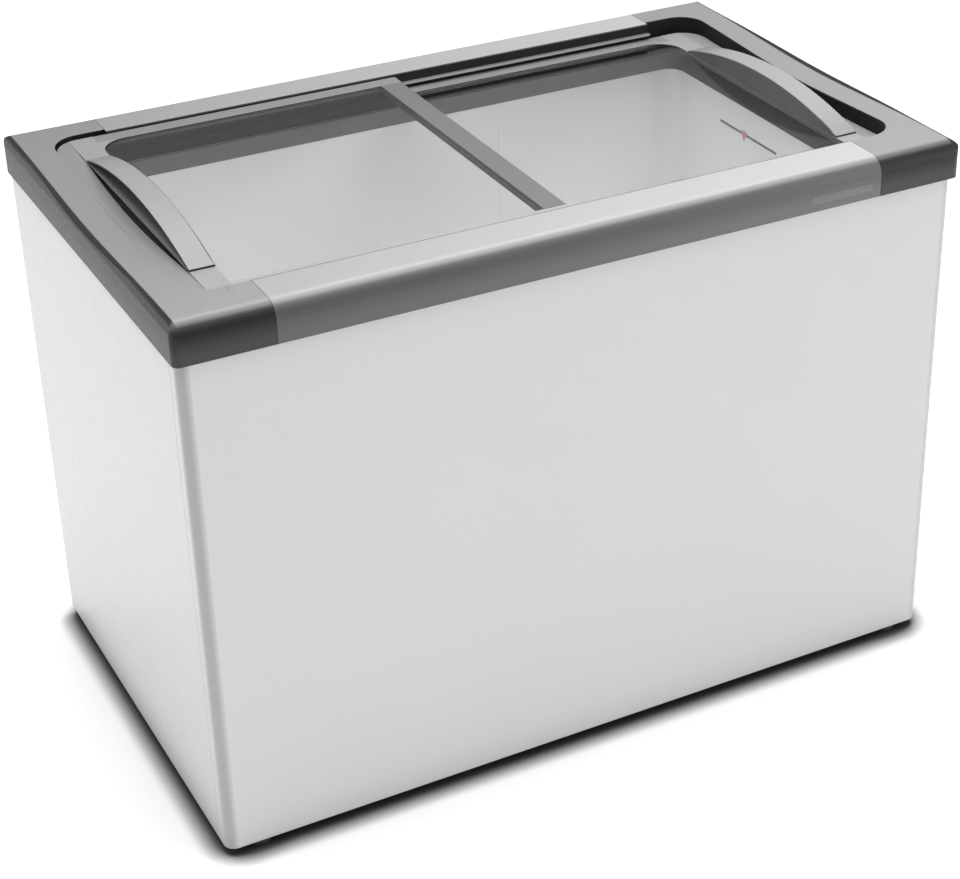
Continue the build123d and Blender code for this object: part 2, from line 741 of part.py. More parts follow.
WALLS = ((WELL_FRONT, 1), (WELL_BACK, -1))
keep(track(WELL_FRONT, 1), "front_track")
keep(track(WELL_BACK, -1), "back_track")

# the pale ribs that the upper lid's glides run on
with BuildPart() as upper_guides:
    for wall, inwards in WALLS:
        web_strip(wall, inwards, GUIDE_W, GUIDE_TOP - GUIDE_H, GUIDE_TOP)
keep(upper_guides, "upper_guides")

# black pile on each web, above and below the rib
with BuildPart() as pile_seals:
    for wall, inwards in WALLS:
        web_strip(wall, inwards, WEB_T + PILE_T, SHELF_TOP, GUIDE_TOP - GUIDE_H)
        web_strip(wall, inwards, WEB_T + PILE_T, GUIDE_TOP, WEB_TOP)
keep(pile_seals, "pile_seals")


# ---------------------------------------------------------------- lids
def glass_span(top):
    """Bottom and top of the glass for a lid with this top plane."""
    high = top - GLASS_DROP
    return high - GLASS_T, high


def lid_bar(x0, x1, y0, y1, top, slots):
    """A straight frame bar with a slot for the glass on each side named in slots."""
    low, high = glass_span(top)
    with BuildPart() as bar:
        box(x0, x1, y0, y1, top - LID_T, top)
        top_edges = bar.edges().group_by(Axis.Z)[-1]
        fillet(top_edges.filter_by(Axis.X if x1 - x0 > y1 - y0 else Axis.Y), radius=BAR_ROUND)
        for slot in slots:
            if slot == "+y":
                box(x0, x1, y1 - GLASS_BITE, y1 + CUT, low, high, Mode.SUBTRACT)
            if slot == "-y":
                box(x0, x1, y0 - CUT, y0 + GLASS_BITE, low, high, Mode.SUBTRACT)
            if slot == "+x":
                box(x1 - GLASS_BITE, x1 + CUT, y0, y1, low, high, Mode.SUBTRACT)
            if slot == "-x":
                box(x0 - CUT, x0 + GLASS_BITE, y0, y1, low, high, Mode.SUBTRACT)
    return bar


def strip_cutter(side, top):
    """What dips the moulding's outer strip and hollows the finger pocket beside the grip."""
    grip_edge = GRIP_X + GRIP_W
    middle, half = (GRIP_FRONT + GRIP_BACK) / 2, (GRIP_BACK - GRIP_FRONT) / 2
    pocket_r = (half ** 2 + POCKET ** 2) / (2 * POCKET)
    floor = top - LID_T + POCKET_FLOOR
    with BuildPart() as cutter:
        with BuildSketch(side_plane(side * grip_edge)):
            sag_outline(top, STRIP_SAG)
        extrude(amount=side * (UPPER_LID_X - grip_edge + CUT))
        rod(side * (grip_edge + POCKET - pocket_r), middle, floor, top + CUT, pocket_r)
        box(min(side * grip_edge, side * FRAME_X), max(side * grip_edge, side * FRAME_X),
            -FRAME_Y, FRAME_Y, PANEL_TOP, FRAME_TOP + FRAME_TOP - PANEL_TOP, Mode.INTERSECT)
    return cutter


def end_moulding(side, top, lid_x):
    """A lid's outer end bar with its rounded corners and its arched grip."""
    low, high = glass_span(top)
    inner, outer = side * GRIP_X, side * lid_x
    grip_outer = side * (GRIP_X + GRIP_W)
    cutter = strip_cutter(side, top)
    x0, x1 = min(inner, outer), max(inner, outer)
    middle, half = (GRIP_FRONT + GRIP_BACK) / 2, (GRIP_BACK - GRIP_FRONT) / 2
    rise = GRIP_RISE - GRIP_STEP
    arch_r = (half ** 2 + rise ** 2) / (2 * rise)
    with BuildPart() as piece:
        box(x0, x1, LID_FRONT, LID_BACK, top - LID_T, top)
        corner_edges = piece.edges().filter_by(Axis.Z).group_by(Axis.X)[-1 if side > 0 else 0]
        front_edge, back_edge = corner_edges.sort_by(Axis.Y)
        fillet(front_edge, radius=LID_FRONT_R)
        fillet(back_edge, radius=LID_R)
        add(cutter.part, mode=Mode.SUBTRACT)
        # the slot for the glass, closed at both ends by the front and back bars
        slot_in, slot_out = inner - side * CUT, inner + side * GLASS_BITE
        box(min(slot_in, slot_out), max(slot_in, slot_out),
            LID_FRONT + FRONT_BAR - GLASS_BITE, LID_BACK - BACK_BAR + GLASS_BITE,
            low, high, Mode.SUBTRACT)
        # a thin web over the glass that rounds its back corner
        web_x, web_y = inner - side * CORNER_WEB, LID_BACK - BACK_BAR - CORNER_WEB
        box(min(inner, web_x), max(inner, web_x), web_y, LID_BACK - BACK_BAR, high, top)
        rod(web_x, web_y, high, top, CORNER_WEB - FIT, Mode.SUBTRACT)
        # the grip: an arched hood, open on its outer side for the fingers
        with BuildSketch(side_plane(min(inner, grip_outer))):
            with BuildLine():
                Polyline((middle - half, top - CUT), (middle - half, top + GRIP_STEP))
                RadiusArc((middle - half, top + GRIP_STEP), (middle + half, top + GRIP_STEP),
                          arch_r)
                Polyline((middle + half, top + GRIP_STEP), (middle + half, top - CUT),
                         (middle - half, top - CUT))
            make_face()
        extrude(amount=GRIP_W)
        under = arch_r - GRIP_WALL
        drop = arch_r - GRIP_RISE
        reach = sqrt(under ** 2 - drop ** 2)
        hood_in = inner + side * GRIP_WALL
        with BuildSketch(side_plane(min(hood_in, grip_outer + side * CUT))):
            with BuildLine():
                RadiusArc((middle - reach, top), (middle + reach, top), under)
                Polyline((middle + reach, top), (middle - reach, top))
            make_face()
        extrude(amount=GRIP_W + CUT - GRIP_WALL, mode=Mode.SUBTRACT)
        crest = piece.edges().filter_by(GeomType.CIRCLE).filter_by(
            lambda e: e.length > half and abs(e.center().X - inner) < FIT)
        fillet(crest, radius=GRIP_ROUND)
    return piece


def lid_glides(x0, x1, top):
    """Four thin sliding pads under the corners of a lid."""
    with BuildPart() as pads:
        for x in (x0 + GLIDE_IN, x1 - GLIDE_IN):
            for y in (LID_FRONT + GLIDE_EDGE, LID_BACK - GLIDE_EDGE):
                box(x - GLIDE_HALF_X, x + GLIDE_HALF_X, y - GLIDE_HALF_Y, y + GLIDE_HALF_Y,
                    top - LID_T - GLIDE_T, top - LID_T)
    return pads


def lid(name, side, top, inner_edge, lid_x):
    """Glass, four frame pieces and glides of one lid."""
    outer = side * GRIP_X
    bar0, bar1 = min(outer, inner_edge), max(outer, inner_edge)
    inner_far = inner_edge + side * INNER_BAR
    in0, in1 = min(inner_edge, inner_far), max(inner_edge, inner_far)
    front, back = LID_FRONT + FRONT_BAR, LID_BACK - BACK_BAR
    low, high = glass_span(top)
    keep(lid_bar(bar0, bar1, LID_FRONT, front, top, ["+y"]), f"{name}_front_bar")
    keep(lid_bar(bar0, bar1, back, LID_BACK, top, ["-y"]), f"{name}_back_bar")
    keep(lid_bar(in0, in1, front, back, top, ["-x" if side < 0 else "+x"]), f"{name}_inner_bar")
    keep(end_moulding(side, top, lid_x), f"{name}_handle")
    glass_out = side * (GRIP_X + GLASS_BITE)
    glass_in = inner_far - side * GLASS_BITE
    with BuildPart() as glass:
        box(min(glass_out, glass_in), max(glass_out, glass_in), front - GLASS_BITE,
            back + GLASS_BITE, low, high)
    keep(glass, f"{name}_glass")
    keep(lid_glides(bar0, bar1, top), f"{name}_glides")


lid("left_lid", -1, UPPER_TOP, UPPER_EDGE, UPPER_LID_X)
lid("right_lid", 1, LOWER_TOP, LOWER_EDGE, LOWER_LID_X)

with BuildPart() as overlap_brush:
    box(BRUSH_X - BRUSH_FOOT, BRUSH_X + BRUSH_FOOT, LID_FRONT + FRONT_BAR,
        LID_BACK - BACK_BAR, UPPER_BOTTOM - BRUSH_FOOT_T, UPPER_BOTTOM)
    box(BRUSH_X - BRUSH_HALF, BRUSH_X + BRUSH_HALF, LID_FRONT + FRONT_BAR,
        LID_BACK - BACK_BAR, LOWER_TOP + LID_RUN, UPPER_BOTTOM - BRUSH_FOOT_T)
keep(overlap_brush, "overlap_brush")

# ---------------------------------------------------------------- feet
with BuildPart() as foot_nuts:
    for foot_x, foot_y in foot_places():
        rod(foot_x, foot_y, BASE_Z - NUT_FLANGE, BASE_Z, NUT_FLANGE_R)
        rod(foot_x, foot_y, BASE_Z - NUT_FLANGE, BASE_Z + NUT_FLANGE_R, NUT_R)
        rod(foot_x, foot_y, BASE_Z - NUT_FLANGE, BASE_Z + NUT_FLANGE_R, NUT_BORE, Mode.SUBTRACT)
keep(foot_nuts, "foot_nuts")

FOOT_NAMES = ("foot_front_left", "foot_front_right", "foot_back_left", "foot_back_right")
for foot_name, (foot_x, foot_y) in zip(FOOT_NAMES, foot_places()):
    with BuildPart() as foot:
        rod(foot_x, foot_y, 0, FOOT_PAD, FOOT_R)
        chamfer(foot.edges().group_by(Axis.Z)[-1], length=FOOT_CHAMFER)
        rod(foot_x, foot_y, FOOT_PAD, BASE_Z - NUT_FLANGE - FOOT_NECK, FOOT_R / 2)
        rod(foot_x, foot_y, BASE_Z - NUT_FLANGE - FOOT_NECK, STUD_TOP, STUD_R)
    keep(foot, foot_name)

# ---------------------------------------------------------------- drain
DRAIN_TOP = LINER_FLOOR + DRAIN_FLANGE
with BuildPart() as drain_tube:
    rod(DRAIN_X, 0, LINER_FLOOR, DRAIN_TOP, DRAIN_FLANGE_R)
    rod(DRAIN_X, 0, DRAIN_BOTTOM, DRAIN_TOP, DRAIN_R)
    rod(DRAIN_X, 0, DRAIN_BOTTOM, DRAIN_TOP, DRAIN_BORE, Mode.SUBTRACT)
keep(drain_tube, "drain_tube")

PLUG_TOP = LINER_FLOOR + PLUG_RIM_TOP
with BuildPart() as drain_plug:
    rod(DRAIN_X, 0, LINER_FLOOR - PLUG_DEPTH, DRAIN_TOP + FIT, DRAIN_BORE - PLUG_RUN)
    rod(DRAIN_X, 0, DRAIN_TOP + FIT, PLUG_TOP, DRAIN_BORE + PLUG_RIM)
    box(DRAIN_X - PLUG_TAB_X, DRAIN_X + PLUG_TAB_X, -PLUG_TAB_Y, PLUG_TAB_Y,
        PLUG_TOP, LINER_FLOOR + PLUG_TAB_TOP)
    fillet(drain_plug.edges().filter_by(Axis.X).group_by(Axis.Z)[-1], radius=PLUG_TAB_R)
keep(drain_plug, "drain_plug")


# ---------------------------------------------------------------- side grille and controls
VENT_FRONT = GRILLE_FRONT + GRILLE_LAP + GRILLE_RIM
VENT_BACK = GRILLE_BACK - GRILLE_LAP - GRILLE_RIM
SLAT_PITCH = (VENT_HIGH - VENT_LOW - GRILLE_DEPTH) / SLATS


def slat(z):
    """One slanting slat across the vent window, falling outwards."""
    outer, inner = -CABINET_X - GRILLE_T, -CABINET_X + GRILLE_DEPTH
    with BuildSketch(back_plane(VENT_FRONT)) as section:
        with BuildLine():
            Polyline((outer, z), (outer, z + SLAT_T), (inner, z + SLAT_RISE + SLAT_T),
                     (inner, z + SLAT_RISE), (outer, z))
        make_face()
    extrude(section.sketch, amount=VENT_BACK - VENT_FRONT)


with BuildPart() as side_grille:
    with BuildSketch(side_plane(CABINET_X)):
        with Locations(((GRILLE_FRONT + GRILLE_BACK) / 2, (GRILLE_LOW + GRILLE_HIGH) / 2)):
            RectangleRounded(GRILLE_BACK - GRILLE_FRONT + 2 * GRILLE_LAP,
                             GRILLE_HIGH - GRILLE_LOW + 2 * GRILLE_LAP, GRILLE_R)
    extrude(amount=GRILLE_T)
    fillet(side_grille.edges().group_by(Axis.X)[-1], radius=GRILLE_ROUND)
    box(CABINET_X - GRILLE_DEPTH, CABINET_X, GRILLE_FRONT + SEAM, GRILLE_BACK - SEAM,
        GRILLE_LOW + SEAM, GRILLE_HIGH - SEAM)
    box(CABINET_X - GRILLE_DEPTH, CABINET_X + GRILLE_T, VENT_FRONT, VENT_BACK,
        VENT_LOW, VENT_HIGH, Mode.SUBTRACT)
    for row in range(SLATS):
        slat(VENT_LOW + SEAM + row * SLAT_PITCH)
    dish = Plane(origin=(CABINET_X + GRILLE_T - DISH_DEPTH, 0, 0), x_dir=(0, 1, 0),
                 z_dir=(1, 0, 0))
    with BuildSketch(dish):
        with Locations((KNOB_Y, KNOB_Z)):
            Circle(DISH_R)
    extrude(amount=DISH_DEPTH, mode=Mode.SUBTRACT)
    with BuildSketch(side_plane(CABINET_X - GRILLE_DEPTH)):
        with Locations((KNOB_Y, KNOB_Z)):
            Circle(SHAFT_R + SHAFT_ROOM)
        with Locations((LAMP_Y, KNOB_Z)):
            Circle(LAMP_R + FIT)
    extrude(amount=GRILLE_DEPTH + GRILLE_T, mode=Mode.SUBTRACT)
keep(side_grille, "side_grille")

with BuildPart() as thermostat:
    box(CABINET_X - THERMO_BACK, CABINET_X - GRILLE_DEPTH, KNOB_Y - THERMO_HALF_Y,
        KNOB_Y + THERMO_HALF_Y, KNOB_Z - THERMO_HALF_Z, KNOB_Z + THERMO_HALF_Z)
    with BuildSketch(side_plane(CABINET_X - GRILLE_DEPTH)):
        with Locations((KNOB_Y, KNOB_Z)):
            Circle(SHAFT_R)
    extrude(amount=GRILLE_DEPTH)
keep(thermostat, "thermostat")

KNOB_BASE = CABINET_X + GRILLE_T - DISH_DEPTH + KNOB_GAP
with BuildPart() as thermostat_knob:
    with BuildSketch(side_plane(KNOB_BASE)):
        with Locations((KNOB_Y, KNOB_Z)):
            Circle(KNOB_R)
    extrude(amount=KNOB_STEP)
    with BuildSketch(side_plane(KNOB_BASE + KNOB_STEP)):
        with Locations((KNOB_Y, KNOB_Z)):
            Circle(KNOB_R - KNOB_STEP)
    extrude(amount=KNOB_STEP)
    with BuildSketch(side_plane(KNOB_BASE + 2 * KNOB_STEP)):
        with Locations((KNOB_Y, KNOB_Z)):
            SlotOverall(2 * (KNOB_R - KNOB_STEP), KNOB_BAR, rotation=90)
    extrude(amount=KNOB_BAR_H)
    with BuildSketch(side_plane(KNOB_BASE)):
        with Locations((KNOB_Y, KNOB_Z)):
            Circle(SHAFT_R + SHAFT_RUN)
    extrude(amount=KNOB_BORE, mode=Mode.SUBTRACT)
keep(thermostat_knob, "thermostat_knob")

with BuildPart() as pilot_lamp:
    with BuildSketch(side_plane(CABINET_X - LAMP_IN)):
        with Locations((LAMP_Y, KNOB_Z)):
            Circle(LAMP_R)
    extrude(amount=LAMP_IN + GRILLE_T + LAMP_OUT)
    fillet(pilot_lamp.edges().group_by(Axis.X)[-1], radius=LAMP_ROUND)
keep(pilot_lamp, "pilot_lamp")

# ---------------------------------------------------------------- rear cover, gland, screws
COVER_MID_X = (COVER_LEFT + COVER_RIGHT) / 2
COVER_MID_Z = (COVER_LOW + COVER_HIGH) / 2
with BuildPart() as rear_cover:
    with BuildSketch(back_plane(CABINET_Y)):
        with Locations((-COVER_MID_X, COVER_MID_Z)):
            RectangleRounded(COVER_RIGHT - COVER_LEFT + 2 * COVER_LAP,
                             COVER_HIGH - COVER_LOW + 2 * COVER_LAP, COVER_R)
            with GridLocations(SLOT_PITCH_X, SLOT_PITCH_Z, SLOT_COLUMNS, SLOT_ROWS):
                SlotOverall(SLOT_LENGTH, SLOT_W, mode=Mode.SUBTRACT)
    extrude(amount=COVER_T)
keep(rear_cover, "rear_cover")

with BuildPart() as cord_gland:
    with BuildSketch(back_plane(CABINET_Y)):
        with Locations((-GLAND_X, GLAND_Z)):
            Circle(GLAND_R)
    extrude(amount=GLAND_FLANGE)
    with BuildSketch(back_plane(CABINET_Y - GLAND_IN)):
        with Locations((-GLAND_X, GLAND_Z)):
            Circle(GLAND_BARREL_R)
    extrude(amount=GLAND_LENGTH)
    fillet(cord_gland.edges().group_by(Axis.Y)[-1], radius=GLAND_ROUND)
    with BuildSketch(back_plane(CABINET_Y - GLAND_IN)):
        with Locations((-GLAND_X, GLAND_Z)):
            Circle(GLAND_BORE)
    extrude(amount=GLAND_LENGTH, mode=Mode.SUBTRACT)
keep(cord_gland, "cord_gland")

with BuildPart() as cover_screws:
    with BuildSketch(back_plane(CABINET_Y + COVER_T)):
        with Locations((-COVER_MID_X, COVER_MID_Z)):
            with GridLocations(COVER_RIGHT - COVER_LEFT + COVER_LAP,
                               COVER_HIGH - COVER_LOW + COVER_LAP, 2, 2):
                Circle(SCREW_HEAD_R)
    extrude(amount=SCREW_HEAD)
    with BuildSketch(side_plane(CABINET_X + GRILLE_T)):
        with Locations(((GRILLE_FRONT + GRILLE_BACK) / 2, (GRILLE_LOW + GRILLE_HIGH) / 2)):
            with GridLocations(GRILLE_BACK - GRILLE_FRONT, GRILLE_HIGH - GRILLE_LOW, 2, 2):
                Circle(SCREW_HEAD_R)
    extrude(amount=SCREW_HEAD)
    fillet(cover_screws.edges().filter_by(GeomType.CIRCLE).group_by(Axis.X)[-1],
           radius=SCREW_ROUND)
keep(cover_screws, "cover_screws")

# ---------------------------------------------------------------- refrigeration machinery
PAN_TOP = BASE_Z + PAN_T
COIL_FRONT_Y = FAN_Y - COIL_Y / 2
COIL_END_Y = FAN_Y + COIL_Y / 2
INNER_PASS_X = COIL_X - COIL_T / 4
OUTER_PASS_X = COIL_X + COIL_T / 4
COIL_LOW_Z = FAN_Z - ROW_PITCH * (COIL_ROWS - 1) / 2
COIL_HIGH_Z = FAN_Z + ROW_PITCH * (COIL_ROWS - 1) / 2
with BuildPart() as condenser:
    for pass_x in (INNER_PASS_X, OUTER_PASS_X):
        for row in range(COIL_ROWS):
            across = Plane(origin=(pass_x, COIL_FRONT_Y, COIL_LOW_Z + ROW_PITCH * row),
                           x_dir=(1, 0, 0), z_dir=(0, 1, 0))
            with BuildSketch(across):
                Circle(TUBE_R)
            extrude(amount=COIL_Y)
    for fin in range(int(COIL_Y / FIN_PITCH) - 1):
        fin_y = COIL_FRONT_Y + (fin + 1) * FIN_PITCH
        box(COIL_X - COIL_T / 2, COIL_X + COIL_T / 2, fin_y, fin_y + FIN_T,
            FAN_Z - COIL_Z / 2, FAN_Z + COIL_Z / 2)
keep(condenser, "condenser")

with BuildPart() as fan_bracket:
    box(SHROUD_X, SHROUD_X + BRACKET_T, COIL_FRONT_Y, COIL_END_Y, PAN_TOP, SHROUD_TOP)
    with BuildSketch(side_plane(SHROUD_X)):
        with Locations((FAN_Y, FAN_Z)):
            Circle(FAN_R + SHROUD_GAP)
    extrude(amount=BRACKET_T, mode=Mode.SUBTRACT)
    box(MOTOR_X - BRACKET_T, SHROUD_X, COIL_FRONT_Y, COIL_FRONT_Y + BRACKET_T, PAN_TOP,
        BRACKET_LOW)
    box(MOTOR_X - BRACKET_T, MOTOR_X, COIL_FRONT_Y, FAN_Y + BRACKET_Y, PAN_TOP, BRACKET_HIGH)
keep(fan_bracket, "fan_bracket")

with BuildPart() as fan_motor:
    with BuildSketch(side_plane(MOTOR_X)):
        with Locations((FAN_Y, FAN_Z)):
            Circle(MOTOR_R)
    extrude(amount=MOTOR_LENGTH)
    with BuildSketch(side_plane(MOTOR_X + MOTOR_LENGTH)):
        with Locations((FAN_Y, FAN_Z)):
            Circle(SHAFT_R)
    extrude(amount=SHAFT_LENGTH)
keep(fan_motor, "fan_motor")

fan_face = Plane(origin=(FAN_X, FAN_Y, FAN_Z), x_dir=(0, 1, 0), z_dir=(1, 0, 0))
with BuildPart(fan_face) as fan_blade:
    Cylinder(radius=HUB_R, height=HUB_H)
    with PolarLocations((FAN_R + HUB_R) / 2, FAN_BLADES):
        Box(FAN_R - HUB_R + BLADE_T, BLADE_CHORD, BLADE_T, rotation=(BLADE_TILT, 0, 0))
    Cylinder(radius=FAN_R, height=FAN_ROOM, mode=Mode.INTERSECT)
    Cylinder(radius=SHAFT_R + SHAFT_RUN, height=FAN_ROOM, mode=Mode.SUBTRACT)
keep(fan_blade, "fan_blade")

with BuildPart() as compressor:
    rod(PUMP_X, PUMP_Y, PUMP_LOW, PUMP_TOP, PUMP_R)
    fillet(compressor.edges().group_by(Axis.Z)[-1], radius=PUMP_DOME)
    fillet(compressor.edges().group_by(Axis.Z)[0], radius=PUMP_BEND)
    rod(PUMP_X, PUMP_Y, PUMP_WELD - PUMP_RIM, PUMP_WELD, PUMP_R + PUMP_RIM)
    box(PUMP_X - PLATE_HALF_X, PUMP_X + PLATE_HALF_X, PUMP_Y - PLATE_HALF_Y,
        PUMP_Y + PLATE_HALF_Y, PUMP_LOW - PLATE_T, PUMP_LOW)
keep(compressor, "compressor")

with BuildPart() as compressor_grommets:
    with BuildSketch(Plane.XY.offset(PAN_TOP)):
        with Locations((PUMP_X, PUMP_Y)):
            with GridLocations(GROMMET_PITCH_X, GROMMET_PITCH_Y, 2, 2):
                Circle(GROMMET_R)
    extrude(amount=PUMP_LOW - PLATE_T - PAN_TOP)
keep(compressor_grommets, "compressor_grommets")

with BuildPart() as filter_drier:
    with BuildSketch(Plane(origin=(DRIER_X, 0, DRIER_Z), x_dir=(1, 0, 0), z_dir=(0, 1, 0))):
        Circle(DRIER_R)
    extrude(amount=DRIER_LENGTH)
    fillet(filter_drier.edges().filter_by(GeomType.CIRCLE), radius=DRIER_ROUND)
keep(filter_drier, "filter_drier")


def pipe(points, bend, r):
    """A bent tube through the points."""
    start = Vector(points[0])
    along = Vector(points[1]) - start
    with BuildPart() as tube:
        with BuildLine() as route:
            FilletPolyline(*points, radius=bend)
        with BuildSketch(Plane(origin=start, z_dir=along)):
            Circle(r)
        sweep(path=route.wires()[0])
    return tube


HOT_X, HOT_Y, HOT_Z = PUMP_X + 20, 40.0, 95.0
keep(pipe([(HOT_X, PUMP_Y - PUMP_R - PIPE_GAP, HOT_Z), (HOT_X, HOT_Y, HOT_Z),
           (HOT_X, HOT_Y, COIL_HIGH_Z), (INNER_PASS_X, HOT_Y, COIL_HIGH_Z),
           (INNER_PASS_X, COIL_END_Y, COIL_HIGH_Z)], HOT_BEND, PIPE_R), "discharge_tube")
LIQUID_Y = -35.0
keep(pipe([(OUTER_PASS_X, COIL_END_Y, COIL_LOW_Z), (OUTER_PASS_X, LIQUID_Y, COIL_LOW_Z),
           (DRIER_X, LIQUID_Y, DRIER_Z), (DRIER_X, 0, DRIER_Z)],
          LIQUID_BEND, LIQUID_R), "liquid_tube")
COLD_X, COLD_Y, COLD_Z = PUMP_X + 40, PUMP_Y + 72, 100.0
keep(pipe([(EVAP_X, RISER_Y, RISER_LOW), (EVAP_X, RISER_Y, COLD_Z),
           (COLD_X, RISER_Y, COLD_Z), (COLD_X, COLD_Y, COLD_Z)], COLD_BEND, PIPE_R), "suction_tube")
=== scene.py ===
import bpy
import json
import math
from mathutils import Matrix, Vector


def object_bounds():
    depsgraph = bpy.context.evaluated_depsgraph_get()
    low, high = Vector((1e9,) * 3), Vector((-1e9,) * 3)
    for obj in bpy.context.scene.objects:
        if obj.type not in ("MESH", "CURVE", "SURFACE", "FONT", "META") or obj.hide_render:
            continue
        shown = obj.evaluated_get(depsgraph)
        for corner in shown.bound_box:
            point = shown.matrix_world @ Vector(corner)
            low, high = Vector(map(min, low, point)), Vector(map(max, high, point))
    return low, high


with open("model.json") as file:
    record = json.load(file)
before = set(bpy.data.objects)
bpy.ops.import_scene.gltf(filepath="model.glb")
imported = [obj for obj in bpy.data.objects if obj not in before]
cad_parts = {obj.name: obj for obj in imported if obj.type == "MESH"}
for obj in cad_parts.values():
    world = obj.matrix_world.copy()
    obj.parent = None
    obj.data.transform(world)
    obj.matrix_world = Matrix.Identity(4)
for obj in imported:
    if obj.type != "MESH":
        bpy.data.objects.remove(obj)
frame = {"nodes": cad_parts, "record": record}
cad_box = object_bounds()
nodes = frame["nodes"]

# ---------------------------------------------------------------- places on the object, metres
FRAME_END = cad_box[1].x            # half length of the grey top frame
END_EDGE = FRAME_END - 0.0128       # just past the start of the rounding along its ends
EDGE_BLEND = 0.002
FACE_LOW = 0.833                    # just above the foot of the frame's upright faces
FACE_HIGH = 0.864                   # where the front's rounding into the top starts
DUST_LOW, DUST_HIGH = 0.015, 0.07   # height of the dust line on the panels
LID_END = 0.565                     # a lid's outer end face lies past this
LID_END_BLEND = 0.005

# a lid's grip, its outer side, and the round edge of the finger pocket there, in plan
GRIP_SIDE = 0.549
GRIP_FRONT, GRIP_BACK = -0.225, 0.215
GRIP_MIDDLE = (GRIP_FRONT + GRIP_BACK) / 2
POCKET = 0.006
POCKET_RADIUS = (((GRIP_BACK - GRIP_FRONT) / 2) ** 2 + POCKET ** 2) / (2 * POCKET)
POCKET_MIDDLE = GRIP_SIDE + POCKET - POCKET_RADIUS
POCKET_EDGE = (-0.0008, -0.0002)    # blends are given as a start and an end
GRIP_LIP = (0.0003, -0.0001)
GRIP_UNDER = (-0.0002, 0.0004)


# ---------------------------------------------------------------- node helpers
def grey(level):
    return (level, level, level)


def set_stops(ramp_node, stops):
    """Fill a colour ramp; each stop is a place and a grey or a colour."""
    elements = ramp_node.color_ramp.elements
    while len(elements) < len(stops):
        elements.new(0.5)
    for element, (place, tone) in zip(elements, stops):
        element.position = place
        element.color = (tone if isinstance(tone, tuple) else grey(tone)) + (1.0,)


